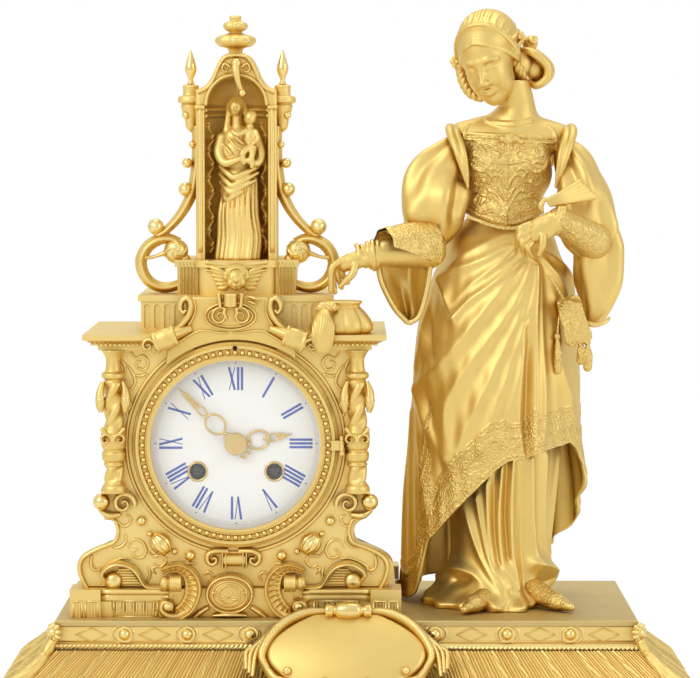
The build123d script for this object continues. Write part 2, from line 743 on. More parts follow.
def case_front_sketch():
    """Outline of the case front: curved foot, waist and straight shoulders."""
    side = [(case_x + x, foot_plinth_top_z + z) for x, z in scaled(case_side_shares, case_half_width,
                                                                   case_front_height)]
    right = Spline(*side)
    top_right = (side[-1][0], cornice_bottom_z)
    left = [(2 * case_x - x, z) for x, z in side]
    top_left = (left[-1][0], cornice_bottom_z)
    edges = right + Polyline(side[-1], top_right, top_left,
                             left[-1]) + Spline(*left[::-1]) + Line(left[0], side[0])
    return make_face(edges)


def hinge_pin(x, y, pin_radius, knuckle_radius, height, y_seat):
    """Two fixed lugs and a pin between them, standing on a face at y_seat."""
    lug = height / 3
    piece = Pos(x, y, dial_z) * Cylinder(pin_radius, height + lug)
    for side in (-1, 1):
        z = dial_z + side * (height / 2 + lug / 2)
        piece += Pos(x, y, z) * Cylinder(knuckle_radius, lug)
        span = (min(y, y_seat), max(y, y_seat))
        piece += block((x - knuckle_radius, x + knuckle_radius), span, (z - lug / 2, z + lug / 2))
    return piece


def hinge_knuckle(x, y, pin_radius, knuckle_radius, height):
    """Turning sleeve of a hinge, clear of its lugs."""
    sleeve = Pos(x, y, dial_z) * Cylinder(knuckle_radius, height - 2 * moving_gap)
    return sleeve - Pos(x, y, dial_z) * Cylinder(pin_radius + running_clearance, height + cut_overrun)


bezel_hinge_x = case_x + bezel_radius + moving_gap + bezel_knuckle_radius
bezel_hinge_y = case_front_y - moving_gap - bezel_thickness - bezel_knuckle_radius
rear_hinge_x = case_x + rear_door_radius + moving_gap + rear_knuckle_radius
rear_hinge_y = case_end_y + moving_gap + rear_door_thickness + rear_knuckle_radius


def make_case_front():
    plate = upright(case_front_sketch(), case_front_y, case_back_y)
    plate -= dial_disc(case_opening_radius, 0, 0, case_front_y - cut_overrun, case_back_y + cut_overrun)
    for side in (-1, 1):
        plate -= dial_disc(ear_screw_radius + running_clearance, side * ear_circle(), 0,
                           case_back_y - ear_screw_depth, case_back_y + cut_overrun)
    hinge = hinge_pin(bezel_hinge_x, bezel_hinge_y, bezel_pin_radius, bezel_knuckle_radius,
                      bezel_knuckle_height, case_front_y)
    return plate + hinge + pearl_strings()


def ear_circle():
    """Distance of the ear screws from the dial axis."""
    return (case_opening_radius + plate_radius + plate_ear_reach) / 2


def make_case_shell():
    half = case_shell_half_width
    outer = block((case_x - half, case_x + half), (case_back_y, shell_back_y), (foot_plinth_top_z,
                                                                                cornice_bottom_z))
    inner = block((case_x - half + case_wall, case_x + half - case_wall),
                  (case_back_y - cut_overrun, shell_back_y + cut_overrun),
                  (foot_plinth_top_z - cut_overrun, cornice_bottom_z - case_wall))
    return outer - inner + case_back()


def case_back():
    """Back wall of the case with its round opening and the door's hinge lugs."""
    half = case_shell_half_width
    plate = block((case_x - half, case_x + half), (shell_back_y, case_end_y), (foot_plinth_top_z,
                                                                               cornice_bottom_z))
    plate -= dial_disc(rear_opening_radius, 0, 0, shell_back_y - cut_overrun, case_end_y + cut_overrun)
    return plate + hinge_pin(rear_hinge_x, rear_hinge_y, rear_pin_radius, rear_knuckle_radius,
                             rear_knuckle_height, case_end_y)


def make_rear_door():
    front = case_end_y + moving_gap
    door = dial_disc(rear_door_radius, 0, 0, front, front + rear_door_thickness)
    door += dial_disc(rear_knob_radius, -rear_opening_radius + rear_knob_radius, 0, front,
                      front + rear_door_thickness + rear_knob_length)
    arm_half = rear_knuckle_height / 2 - moving_gap
    door += block((case_x + rear_opening_radius, rear_hinge_x), (front + rear_door_thickness / 2,
                                                                 rear_hinge_y),
                  (dial_z - arm_half, dial_z + arm_half))
    door -= Pos(rear_hinge_x, rear_hinge_y, dial_z) * Cylinder(rear_knuckle_radius, rear_knuckle_height)
    return door + hinge_knuckle(rear_hinge_x, rear_hinge_y, rear_pin_radius, rear_knuckle_radius,
                                rear_knuckle_height)


def make_columns():
    axis_y = case_front_y - column_axis_depth
    points = scaled(column_shares, column_radius, column_height)
    shaft = turned(points, case_x - column_offset, axis_y, column_bottom_z)
    for index, (x_share, z_share) in enumerate(console_place_shares):
        x = case_x - column_offset + x_share * console_radius
        z = column_bottom_z + z_share * column_height - console_radius / 2
        if index == 0:
            shaft += Pos(x, case_front_y, z) * Sphere(console_ball_radius)
        else:
            volute = Pos(x, z) * Circle(console_radius)
            shaft += upright(volute, case_front_y - console_depth, case_front_y)
    reach = cornice_reach + case_front_thickness
    shaft -= block((case_x - 2 * column_offset, case_x), (case_front_y, case_front_y + reach),
                   (base_height, cornice_top_z))
    left = shaft.solids()[0]
    return [left, mirrored(left)]


def make_cornice():
    def level(step, z):
        half = cornice_half_width - step
        front = case_front_y - cornice_reach + step
        return Pos(case_x, (front + case_end_y) / 2, z) * Rectangle(2 * half, case_end_y - front)

    third = cornice_height / 3
    slab = extrude(level(cornice_step, cornice_bottom_z), third)
    slab += loft([level(cornice_step * 0.8, cornice_bottom_z + third), level(cornice_step * 0.15,
                                                                             cornice_bottom_z + 2 * third)])
    slab += extrude(level(0, cornice_bottom_z + 2 * third), third)
    slab -= block((case_x - pediment_half_width, case_x + pediment_half_width),
                  (case_front_y - cornice_reach - cut_overrun, attic_front_y), (cornice_bottom_z
                          - cut_overrun, cornice_top_z + cut_overrun))
    inner = attic_half_width - 2 * casting_wall
    slab -= block((case_x - inner, case_x + inner),
                  (attic_front_y + 2 * casting_wall, attic_front_y + attic_depth - 2 * casting_wall),
                  (cornice_bottom_z - cut_overrun, cornice_top_z + cut_overrun))
    return slab - dial_disc(bezel_radius + cut_overrun / 2, 0, 0,
                            case_front_y - cornice_reach - cut_overrun, case_front_y)


def make_attic_block():
    slab_z = attic_top_z - attic_slab
    back = attic_front_y + attic_depth
    body = block((case_x - attic_half_width, case_x + attic_half_width), (attic_front_y, back),
                 (cornice_top_z, slab_z))
    count = int((attic_half_width - pediment_half_width * 0.75) / flute_pitch)
    for index in range(count):
        x = attic_half_width - flute_pitch * (index + 0.6)
        for side in (-1, 1):
            body -= flute(side * x, cornice_top_z + flute_width / 2, slab_z - flute_width / 2,
                          attic_front_y)
    inner = attic_half_width - flute_depth - casting_wall
    body -= block((case_x - inner, case_x + inner), (attic_front_y + flute_depth + casting_wall,
                                                     back - casting_wall),
                  (cornice_top_z - cut_overrun, slab_z))
    reach = attic_half_width + attic_slab_reach
    return body + block((case_x - reach, case_x + reach), (attic_front_y - attic_slab_reach, back),
                        (slab_z, attic_top_z))


def make_pediment(carriers):
    front = attic_front_y - pediment_thickness
    inner = bezel_radius + cut_overrun / 2
    outer = inner + pediment_strap_width
    strap = around_dial(0, 0) * (Circle(outer) - Circle(inner))
    strap = strap & (Pos(case_x, cornice_bottom_z + pediment_rise) * Rectangle(2 * pediment_half_width,
                                                                               2 * pediment_rise))
    base_z = cornice_bottom_z + cornice_height / 2
    cap = make_face(Spline(*[(case_x + x, base_z + z) for x, z in
                             scaled(pediment_cap_shares, pediment_half_width, pediment_rise)]
                           ) + Line((case_x + pediment_half_width / 2, base_z + pediment_rise / 2),
                                    (case_x - pediment_half_width / 2, base_z + pediment_rise / 2)))
    boss_half = pediment_half_width * 0.36
    boss = Pos(case_x, base_z + pediment_rise * 0.46) * Ellipse(boss_half, pediment_rise * 0.42)
    curl = trace(Spline(*[(case_x + x, base_z + z) for x, z in
                          scaled(pediment_scroll_shares, pediment_half_width,
                                 pediment_rise)]), pediment_strap_width)
    piece = upright(cap + boss, front + pediment_strap_width / 2, attic_front_y) + upright(strap, front,
                                                                                           attic_front_y)
    scroll = upright(curl, front, attic_front_y)
    piece += scroll + mirrored(scroll)
    dome = Pos(case_x, front + pediment_strap_width, base_z + pediment_rise * 0.46) * Sphere(boss_half
                                                                                             * 0.55)
    return cut_by(piece + dome, carriers)


def make_foot_scrolls(carriers):
    front = case_front_y - foot_plinth_reach - scroll_depth
    points = [(case_x + x, base_height + z) for x, z in scaled(big_scroll_shares, foot_plinth_half_width,
                                                               foot_plinth_height)]
    big = upright(trace(Spline(*points), scroll_band), front, case_front_y)
    for x, z in (points[0], points[-1]):
        big += upright(Pos(x, z) * Circle(scroll_volute_radius), front, case_front_y)
    keep_above = block((case_x - 2 * foot_plinth_half_width, case_x + foot_plinth_half_width),
                       (front, case_front_y),
                       (base_height, cornice_bottom_z))
    place_x = case_x + small_scroll_place_shares[0] * foot_plinth_half_width
    place_z = foot_plinth_top_z + small_scroll_place_shares[1] * foot_plinth_height
    band = scroll_band * 0.7
    curl = trace(CenterArc((place_x, place_z), small_scroll_radius, 0, 250), band)
    small = upright(curl + Pos(place_x - small_scroll_radius * 0.4, place_z) * Circle(small_scroll_radius
                                                                                      * 0.75),
                    case_front_y - scroll_depth, case_front_y)
    left = [cut_by(big & keep_above, carriers), cut_by(small, carriers)]
    return left + [mirrored(piece) for piece in left]


def make_medallion(carriers):
    back = case_front_y
    face = case_front_y - foot_plinth_reach
    top = dial_z - bezel_radius - 2 * console_roll_radius
    panel = block((case_x - panel_half_width, case_x + panel_half_width), (face - panel_thickness, back),
                  (base_height, top))
    oval_z = base_height + medallion_half_height + plinth_slab * 2
    for grow, reach in ((1.25, medallion_dome / 3), (1.0, medallion_dome)):
        oval = Pos(case_x, oval_z) * Ellipse(medallion_half_width * grow, medallion_half_height * grow)
        panel += upright(oval, face - panel_thickness - reach, back)
    roll_y = case_front_y - console_roll_radius
    roll = Pos(case_x, roll_y, top) * Rot(0, 90, 0) * Cylinder(console_roll_radius,
                                                               2 * console_roll_half_length)
    return cut_by(panel + roll, carriers)


def pearl_strings():
    """Half pearls cast on the case front, as two strings beside the dial."""
    pearls = []
    for x_share, z_share, size_share in pearl_shares:
        place = Pos(case_x + x_share * case_half_width, case_front_y,
                    foot_plinth_top_z + z_share * case_front_height)
        radius = pearl_radius * size_share
        ball = place * (Sphere(radius) & block((-radius, radius), (-radius, 0), (-radius, radius)))
        pearls += [ball, mirrored(ball)]
    return pearls


# Crown of the case

def make_niche_plinth():
    slab_z = niche_floor_z - niche_slab
    front = attic_front_y + niche_plinth_front

    def level(reach):
        half = niche_plinth_half_width + reach
        sketch = Pos(case_x, front - reach + niche_plinth_depth / 2) * Rectangle(2 * half,
                                                                                 niche_plinth_depth)
        return sketch + Pos(case_x, front - reach) * Ellipse(niche_inner_half_width + reach,
                                                             niche_plinth_bow)

    body = extrude(Pos(0, 0, attic_top_z) * level(0), slab_z - attic_top_z)
    inner = niche_plinth_half_width - casting_wall
    body -= block((case_x - inner, case_x + inner), (front + casting_wall,
                                                     front + niche_plinth_depth - casting_wall),
                  (attic_top_z - cut_overrun, slab_z))
    return body + extrude(Pos(0, 0, slab_z) * level(niche_slab_reach), niche_slab)


def niche_rise():
    """Height from the top of the niche wall to its flat peak."""
    return niche_peak_height - niche_wall_height


def make_niche_shell():
    wall_z = niche_floor_z + niche_wall_height
    side = [(case_x + x, wall_z + z) for x, z in scaled(niche_ogee_shares, niche_half_width, niche_rise())]
    peak_z = niche_floor_z + niche_peak_height
    side.append((case_x + niche_peak_half_width, peak_z))
    left = [(2 * case_x - x, z) for x, z in side]
    edges = Spline(*side) + Line(side[-1], left[-1]) + Spline(*left[::-1])
    edges += Polyline(left[0], (case_x - niche_half_width, niche_floor_z), (case_x + niche_half_width,
                                                                            niche_floor_z), side[0])
    body = upright(make_face(edges), niche_axis_y - niche_front_depth, niche_axis_y + niche_back_depth)
    radius = niche_inner_half_width
    mouth = Pos(case_x, (niche_floor_z + wall_z) / 2) * Rectangle(2 * radius,
            niche_wall_height) + Pos(case_x, wall_z) * Circle(radius)
    body -= upright(mouth, niche_axis_y - niche_front_depth - cut_overrun, niche_axis_y)
    body -= Pos(case_x, niche_axis_y, (niche_floor_z + wall_z) / 2) * Cylinder(radius, niche_wall_height)
    return body - Pos(case_x, niche_axis_y, wall_z) * Sphere(radius)


def left_turret():
    points = scaled(turret_shares, turret_radius, turret_height)
    return turned(points, case_x - turret_offset, niche_axis_y, niche_floor_z + turret_start)


def make_spire_finials():
    points = scaled(spire_shares, spire_radius, spire_height)
    left = turned(points, case_x - turret_offset, niche_axis_y,
                  niche_floor_z + turret_start + turret_height).solids()[0]
    return [left, mirrored(left)]


def make_top_finial():
    points = scaled(finial_shares, finial_radius, finial_height)
    return turned(points, case_x, niche_axis_y, niche_floor_z + niche_peak_height)


def make_buttresses(carriers):
    front = niche_axis_y - buttress_thickness / 2
    back = niche_axis_y + buttress_thickness / 2

    def place(x_share, z_share):
        return case_x - x_share * buttress_reach, niche_floor_z + z_share * buttress_height

    curve = Spline(*[place(*share) for share in buttress_shares])
    piece = upright(trace(curve, buttress_band), front, back)
    for x_share, z_share, size_share in buttress_pearl_shares:
        x, z = place(x_share, z_share)
        piece += Pos(x, niche_axis_y, z) * Sphere(buttress_ball_radius * size_share)
    x, z = place(*buttress_rosette_shares)
    piece += upright(Pos(x, z) * Circle(buttress_rosette_radius), front - moving_gap, back + moving_gap)
    left = cut_by(piece + left_turret(), carriers)
    return [left, mirrored(left)]


def make_statuette():
    x0, y0 = case_x + statue_x_offset, niche_axis_y

    def ring(z, x, half_width, half_depth):
        return folded_ring(x0 + x * statue_height, y0, niche_floor_z + z * statue_height,
                           half_width * statue_height, half_depth * statue_height, 7, 0.05)

    body = loft([ring(*share) for share in statue_ring_shares])
    for x, y, z, radius in statue_ball_shares:
        body += Pos(x0 + x * statue_height, y0 + y * statue_height,
                    niche_floor_z + z * statue_height) * Sphere(radius * statue_height)
    return body


def make_cherub_head(carriers):
    y = attic_front_y + niche_plinth_front - niche_plinth_bow
    z = attic_top_z + cherub_rise
    head = Pos(case_x, y, z) * Sphere(cherub_radius)
    edge = Spline(*[(case_x + x, z + h) for x, h in scaled(cherub_wing_shares, cherub_wing_reach,
                                                           cherub_radius)])
    wing = make_face(edge + Line(edge @ 1, edge @ 0))
    right = upright(wing, y - cherub_wing_thickness / 2, y + niche_plinth_bow)
    return cut_by(head + right + mirrored(right), carriers)


def make_vessel(carriers):
    x = case_x + vessel_x_offset
    y = case_front_y - cornice_reach + vessel_front_setback
    sections = [folded_ring(x, y, cornice_top_z + z * vessel_height, r * vessel_radius,
                            r * vessel_radius, vessel_lobes, 0.05)
                for z, r in vessel_ring_shares]
    pouch = loft(sections)
    edge_y = case_front_y - cornice_reach - vessel_tassel_radius
    edge_x = x - vessel_tassel_out
    knot_z = cornice_top_z + vessel_tassel_radius
    cord = limb([(x - vessel_radius / 2, y, cornice_top_z + vessel_height / 2, vessel_tassel_radius / 2),
                 (edge_x, edge_y, knot_z + vessel_tassel_radius, vessel_tassel_radius / 2),
                 (edge_x, edge_y, cornice_top_z - vessel_tassel_drop / 2, vessel_tassel_radius),
                 (edge_x, edge_y, cornice_top_z - vessel_tassel_drop, vessel_tassel_radius)])
    return cut_by(pouch + cord, carriers)


# Lady

def at_figure(x_share, y_share, z_share):
    """Place on the lady from shares of her height."""
    return (figure_x + x_share * figure_height, figure_y + y_share * figure_height,
            base_height + z_share * figure_height)


def cloth_ring(z, left, right, depth, folds, fold_share):
    """Level outline of the dress between a left and a right edge."""
    x, y, height = at_figure((left + right) / 2, 0, z)
    return folded_ring(x, y, height, (right - left) / 2 * figure_height, depth * figure_height, folds,
                       fold_share)


def body_stack(shares):
    """Smooth body through rings between a left and a right edge."""
    rings = []
    for z, left, right, depth in shares:
        x, y, height = at_figure((left + right) / 2, 0, z)
        rings.append((x, y, height, (right - left) / 2 * figure_height, depth * figure_height))
    return ring_stack(rings)


def body_limb(shares):
    """Limb of the lady from shares of her height."""
    return limb([(*at_figure(x, y, z), radius * figure_height) for x, y, z, radius in shares])


def below_hem(shares, y_front, y_back):
    """All that lies under a hem, between two depths."""
    edge = [(figure_x + x * figure_height, base_height + z * figure_height) for x, z in shares]
    outline = Polyline(*edge, (edge[-1][0], 0), (edge[0][0], 0), close=True)
    return upright(make_face(outline), y_front, y_back)


def make_figure_dress():
    under = loft([cloth_ring(*share, dress_fold_count, dress_fold_share) for share in skirt_shares])
    over = loft([cloth_ring(*share, dress_fold_count, dress_fold_share) for share in overskirt_shares])
    over -= below_hem(front_hem_shares, figure_y - figure_height, figure_y)
    over -= below_hem(back_hem_shares, figure_y, figure_y + figure_height)
    wall_share = dress_wall / figure_height
    inside = body_stack([(z, left + wall_share, right - wall_share, depth - wall_share)
                         for z, left, right, depth in skirt_shares + overskirt_shares[5:8]])
    bar = block((figure_x - dress_bar_width / 2, figure_x + dress_bar_width / 2),
                (figure_y - figure_height, figure_y + figure_height), (base_height,
                                                                       base_height + dress_bar_height))
    dress = under + over - (inside - bar)
    return dress - stud_bolt_hole(stud_bolt_radius + running_clearance)[0]


def make_figure_bodice(dress):
    return cut_by(body_stack(bodice_shares), [dress])


def head_limb(shares):
    """Limb in the head's own frame, from shares of its height."""
    return limb([tuple(share * head_height for share in place) for place in shares])


def make_figure_head(bodice):
    head = head_limb(face_shares) + head_limb(nose_shares)
    for x, y, z, radius in skull_shares:
        head += Pos(x * head_height, y * head_height, z * head_height) * Sphere(radius * head_height)
    incline = Rot(0, head_roll, 0) * Rot(0, 0, head_yaw) * Rot(head_pitch, 0, 0)
    head = Pos(*at_figure(*head_place_shares)) * incline * head
    for x, y, z, radius in hair_ball_shares:
        head += Pos(*at_figure(x, y, z)) * incline * Sphere(radius * figure_height)
    for shares in braid_shares:
        head += limb([(*at_figure(*place), braid_radius) for place in shares])
    return cut_by(head, [bodice])


def sleeve_rings(shares):
    """Level rings of a sleeve, each with a height, two edges, the place of its middle and half its depth."""
    rings = []
    for z, left, right, y_share, depth in shares:
        x, y, height = at_figure((left + right) / 2, y_share, z)
        rings.append((x, y, height, (right - left) / 2 * figure_height, depth * figure_height))
    return rings


def make_drape(shares):
    """Sleeve that hangs in a point and is open at the front."""
    outer = sleeve_rings(shares)
    inner = [(x, y - half_depth * drape_opening_share, z, half_width - sleeve_wall / 2, half_depth)
             for x, y, z, half_width, half_depth in outer]
    return ring_stack(outer) - ring_stack(inner)


def make_figure_arm(sleeve, limbs, drape, carriers):
    arm = ring_stack(sleeve_rings(sleeve)) + make_drape(drape)
    for shares in limbs:
        arm += body_limb(shares)
    return cut_by(arm, carriers)


def make_figure_purse(carriers):
    x, y, z = at_figure(*purse_place_shares)
    edge = [(x + across * purse_width, z + up * purse_height) for across, up in purse_shares]
    pouch = upright(make_face(Spline(*edge, periodic=True)), y - purse_thickness, y + purse_seat_depth)
    return cut_by(pouch, carriers)


# Gear outlines and wheels

def toothed(teeth, module, tooth_shares, turn):
    """Outline of a wheel or pinion, with one tooth centred at an angle."""
    leaf_share, tip_share, root_share = tooth_shares
    pitch_radius = teeth * module / 2
    points = []
    for index in range(teeth):
        middle = radians(turn) + 2 * pi * index / teeth
        for reach, side in gear_tooth_shares:
            radius = pitch_radius + reach * module * (tip_share if reach > 0 else root_share)
            angle = middle + side * leaf_share * pi / teeth
            points.append((radius * cos(angle), radius * sin(angle)))
    return make_face(Polyline(*points, close=True))


def crossed_out(sketch, inner, outer, arms, arm_width):
    """Wheel with windows between its arms."""
    window = Circle(outer) - Circle(inner)
    for index in range(arms):
        window -= Rot(0, 0, 360 * index / arms) * Pos(outer / 2, 0) * Rectangle(outer, arm_width)
    return sketch - window


def wheel_sketch(teeth, module, turn, arms=4):
    """Toothed wheel, crossed out where it is wide enough."""
    rim = teeth * module / 2 - 3 * module
    return crossed_out(toothed(teeth, module, wheel_tooth_shares, turn), 0.3 * rim, 0.9 * rim, arms,
                       0.14 * rim)


def pinion_sketch(teeth, module, turn):
    return toothed(teeth, module, pinion_leaf_shares, turn)


def direction(from_place, to_place):
    """Angle in degrees from one arbor to another."""
    return degrees(atan2(to_place[1] - from_place[1], to_place[0] - from_place[0]))


def gap_turn(wheel_place, pinion_place, pinion_teeth):
    """Turn that puts a gap of the pinion on the line to its wheel."""
    return direction(pinion_place, wheel_place) + 180 / pinion_teeth


def centre_distance(wheel, pinion, module):
    return (wheel + pinion) * module / 2


def meeting_place(first, first_distance, second, second_distance):
    """Arbor at given distances from two others, on the left of the line between them."""
    span = hypot(second[0] - first[0], second[1] - first[1])
    along = (first_distance ** 2 - second_distance ** 2 + span ** 2) / (2 * span)
    aside = sqrt(first_distance ** 2 - along ** 2)
    ux, uz = (second[0] - first[0]) / span, (second[1] - first[1]) / span
    return first[0] + ux * along - uz * aside, first[1] + uz * along + ux * aside


def step_from(place, distance, angle):
    return place[0] + distance * cos(radians(angle)), place[1] + distance * sin(radians(angle))


# Arbor places as offsets from the dial axis
centre_place = (0, 0)
going_place = (-winding_spread / 2, -winding_drop)
strike_place = (winding_spread / 2, -winding_drop)
barrel_distance = centre_distance(barrel_teeth, barrel_pinion_teeth, barrel_module)
intermediate_distance = centre_distance(intermediate_teeth, centre_pinion_teeth, intermediate_module)
intermediate_place = meeting_place(going_place, barrel_distance, centre_place, intermediate_distance)
third_place = step_from(centre_place, centre_distance(centre_teeth, third_pinion_teeth, centre_module),
                        third_direction)
third_tip = third_teeth * third_module / 2 + third_module * wheel_tooth_shares[1]
escape_pinion_tip = escape_pinion_teeth * third_module / 2 + third_module * pinion_leaf_shares[1]
escape_distance = third_tip + escape_pinion_tip + escape_pinion_gap
escape_place = (0, third_place[1] + sqrt(escape_distance ** 2 - third_place[0] ** 2))
anchor_place = (0, escape_place[1] + anchor_rise)
strike_second_place = step_from(strike_place, barrel_distance, strike_second_direction)
minute_place = (0, centre_distance(minute_wheel_teeth, cannon_teeth, cannon_module))
hammer_place = (hammer_x, hammer_z)
bell_place = (bell_offset_x, bell_offset_z)
pillar_turns = (30, 115, 165, 270)
dial_foot_turns = (140, 270, 40)

# Levels along the depth of the movement
barrel_wheel_y = movement_y + barrel_start + barrel_drum_height
second_wheel_y = barrel_wheel_y + barrel_wheel_thickness + pinion_overlap + wheel_clearance
centre_wheel_y = movement_y + wheel_clearance
third_wheel_y = movement_y + plate_gap * 0.55
escape_wheel_y = movement_y + plate_gap * 0.74
cannon_wheel_y = front_plate_y - motion_wheel_gap - wheel_thickness
hour_wheel_y = cannon_wheel_y - motion_wheel_gap * 2 - wheel_thickness
hour_hand_y = dial_front_y - hand_spacing - hand_thickness
minute_hand_y = hour_hand_y - hand_spacing - hand_thickness
pendulum_y = rear_y + pendulum_depth
cannon_pipe_radius = centre_arbor_radius + cannon_pipe_wall
hour_pipe_bore = cannon_pipe_radius + running_clearance
hour_pipe_radius = hour_pipe_bore + hour_pipe_wall
dial_hole_radius = hour_pipe_radius + moving_gap


def arbor(place, y_front=None, y_back=None, radius=None):
    """Rod of an arbor, from the front plate to the back plate unless told otherwise."""
    front = front_plate_y if y_front is None else y_front
    back = rear_y if y_back is None else y_back
    return dial_disc(arbor_radius if radius is None else radius, *place, front, back)


def placed(sketch, place, y_front, thickness):
    """Flat wheel or pinion at an arbor, from y_front towards the back."""
    return upright(around_dial(*place) * sketch, y_front, y_front + thickness)


def plate_disc(y_front, winding_radius):
    """Round plate pierced for every arbor that runs in it."""
    plate = dial_disc(plate_radius, 0, 0, y_front, y_front + plate_thickness)
    holes = [(place, arbor_radius) for place in
             (intermediate_place, third_place, escape_place, anchor_place, strike_second_place,
              hammer_place)]
    holes += [(centre_place, centre_arbor_radius), (going_place, winding_radius), (strike_place,
                                                                                   winding_radius)]
    for place, radius in holes:
        plate -= dial_disc(radius + running_clearance, *place, y_front - cut_overrun,
                           y_front + plate_thickness + cut_overrun)
    return plate


def make_front_plate():
    plate = plate_disc(front_plate_y, winding_arbor_radius)
    for side in (-1, 1):
        near = case_x + side * (plate_radius - plate_ear_half_height)
        far = case_x + side * (plate_radius + plate_ear_reach)
        plate += block((min(near, far), max(near, far)), (front_plate_y, movement_y),
                       (dial_z - plate_ear_half_height, dial_z + plate_ear_half_height))
        plate -= dial_disc(ear_screw_radius + running_clearance, side * ear_circle(), 0,
                           front_plate_y - cut_overrun, movement_y + cut_overrun)
    return plate + dial_disc(arbor_radius, *minute_place, hour_wheel_y - motion_wheel_gap, movement_y)


def make_movement_screws():
    screws = []
    for side in (-1, 1):
        x = side * ear_circle()
        screws.append(dial_disc(ear_screw_radius, x, 0, case_back_y - ear_screw_depth, movement_y)
                      + dial_disc(ear_screw_head_radius, x, 0, movement_y,
                                  movement_y + ear_screw_head_height))
    return screws


def make_back_plate():
    return plate_disc(back_plate_y, winding_pivot_radius)


def make_plate_pillars():
    places = [step_from(centre_place, pillar_circle, turn) for turn in pillar_turns]
    return [arbor(place, movement_y, back_plate_y, pillar_radius) for place in places]


def make_barrel(place, pinion_place):
    wheel = toothed(barrel_teeth, barrel_module, wheel_tooth_shares, direction(place, pinion_place))
    drum_radius = barrel_teeth * barrel_module / 2 - barrel_drum_margin
    drum_front = movement_y + barrel_start
    drum = placed(wheel, place, barrel_wheel_y, barrel_wheel_thickness) + arbor(place, drum_front,
                                                                                barrel_wheel_y, drum_radius)
    return drum - arbor(place, drum_front - cut_overrun, rear_y + cut_overrun,
                        winding_arbor_radius + running_clearance)


def make_winding_arbor(place):
    shoulder_y = barrel_wheel_y + barrel_wheel_thickness
    rod = arbor(place, cannon_wheel_y - wheel_thickness, shoulder_y, winding_arbor_radius)
    rod += arbor(place, shoulder_y, rear_y, winding_pivot_radius)
    ratchet = Circle(ratchet_radius)
    for index in range(ratchet_teeth):
        turn = Rot(0, 0, 360 * index / ratchet_teeth)
        notch = make_face(Polyline((ratchet_radius * 0.86, 0), (ratchet_radius * 1.1, 0),
                                   (ratchet_radius * 1.1, ratchet_radius * 0.34), close=True))
        ratchet -= turn * notch
    rod += placed(ratchet, place, cannon_wheel_y, wheel_thickness)
    return rod + placed(Rectangle(winding_square, winding_square), place, dial_front_y + dial_thickness / 4,
                        cannon_wheel_y - dial_front_y)


def make_intermediate_wheel():
    wheel = wheel_sketch(intermediate_teeth, intermediate_module, direction(intermediate_place,
                                                                            centre_place))
    leaves = pinion_sketch(barrel_pinion_teeth, barrel_module, gap_turn(going_place, intermediate_place,
                                                                        barrel_pinion_teeth))
    pinion_length = barrel_wheel_thickness + 2 * pinion_overlap
    return arbor(intermediate_place) + placed(wheel, intermediate_place, second_wheel_y, wheel_thickness) \
        + placed(leaves, intermediate_place, barrel_wheel_y - pinion_overlap, pinion_length)


def make_centre_wheel():
    wheel = wheel_sketch(centre_teeth, centre_module, direction(centre_place, third_place))
    leaves = pinion_sketch(centre_pinion_teeth, intermediate_module, gap_turn(intermediate_place,
            centre_place, centre_pinion_teeth))
    return arbor(centre_place, minute_hand_y, rear_y, centre_arbor_radius) \
        + placed(wheel, centre_place, centre_wheel_y, wheel_thickness) \
        + placed(leaves, centre_place, second_wheel_y - pinion_overlap,
                 wheel_thickness + 2 * pinion_overlap)


def make_third_wheel():
    wheel = wheel_sketch(third_teeth, third_module, direction(third_place, escape_place))
    leaves = pinion_sketch(third_pinion_teeth, centre_module, gap_turn(centre_place, third_place,
                                                                       third_pinion_teeth))
    return arbor(third_place) + placed(wheel, third_place, third_wheel_y, wheel_thickness) \
        + placed(leaves, third_place, centre_wheel_y - pinion_overlap / 2, wheel_thickness + pinion_overlap)


def make_escape_wheel():
    root = escape_radius - escape_tooth_height
    points = []
    for index in range(escape_teeth):
        start = 2 * pi * index / escape_teeth
        for radius, share in ((root, 0.0), (escape_radius, 0.5), (escape_radius, 0.6), (root, 0.75)):
            angle = start + share * 2 * pi / escape_teeth
            points.append((radius * cos(angle), radius * sin(angle)))
    wheel = crossed_out(make_face(Polyline(*points, close=True)), 0.35 * root, 0.85 * root, 4, 0.2 * root)
    leaves = pinion_sketch(escape_pinion_teeth, third_module, gap_turn(third_place, escape_place,
                                                                       escape_pinion_teeth))
    return arbor(escape_place) + placed(wheel, escape_place, escape_wheel_y, wheel_thickness) \
        + placed(leaves, escape_place, third_wheel_y - pinion_overlap, wheel_thickness + 2 * pinion_overlap)


def make_strike_second_wheel():
    wheel = wheel_sketch(strike_second_teeth, strike_second_module, 0)
    leaves = pinion_sketch(barrel_pinion_teeth, barrel_module, gap_turn(strike_place,
            strike_second_place, barrel_pinion_teeth))
    count = Circle(count_wheel_radius)
    for index in range(count_wheel_notches):
        turn = 360 * index * (index + 1) / (count_wheel_notches * (count_wheel_notches + 1))
        count -= Rot(0, 0, turn) * Pos(count_wheel_radius, 0) * Rectangle(3 * wheel_thickness,
                                                                          wheel_thickness)
    pinion_length = barrel_wheel_thickness + 2 * pinion_overlap
    count_y = rear_y + wheel_clearance
    return arbor(strike_second_place, front_plate_y, count_y + wheel_thickness) \
        + placed(wheel, strike_second_place, second_wheel_y, wheel_thickness) \
        + placed(count, strike_second_place, count_y, wheel_thickness) \
        + placed(leaves, strike_second_place, barrel_wheel_y - pinion_overlap, pinion_length)


def make_cannon_wheel():
    wheel = toothed(cannon_teeth, cannon_module, wheel_tooth_shares, direction(centre_place, minute_place))
    pipe = arbor(centre_place, minute_hand_y, cannon_wheel_y, cannon_pipe_radius)
    return placed(wheel, centre_place, cannon_wheel_y, wheel_thickness) + pipe \
        - arbor(centre_place, minute_hand_y - cut_overrun, rear_y,
                centre_arbor_radius + running_clearance / 2)


